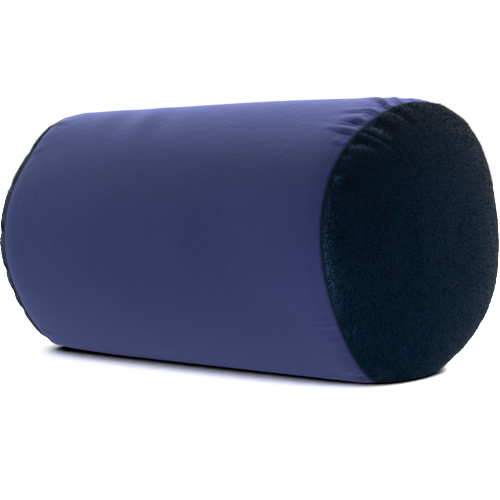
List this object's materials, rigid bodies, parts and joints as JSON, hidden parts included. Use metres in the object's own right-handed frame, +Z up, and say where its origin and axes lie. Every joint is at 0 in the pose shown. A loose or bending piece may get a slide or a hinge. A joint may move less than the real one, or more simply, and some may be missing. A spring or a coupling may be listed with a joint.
{
  "type": "neck roll pillow",
  "caption": "Filled neck roll: a smooth stretch jersey tube with a domed disc of short-pile plush sewn into each end.",
  "frame": {"origin": "centre of the bounding box's base, on the surface that the roll lies on", "axes": "+X along the roll to its near end, +Y to its back, +Z up"},
  "size_m": [0.3464, 0.178, 0.1739],
  "materials": {
    "jersey": "smooth matte stretch jersey with a soft sheen",
    "plush": "short brushed pile"
  },
  "bodies": {
    "root": {"tube_panel": "jersey", "end_panel_near": "plush", "end_panel_far": "plush"}
  },
  "joints": []
}
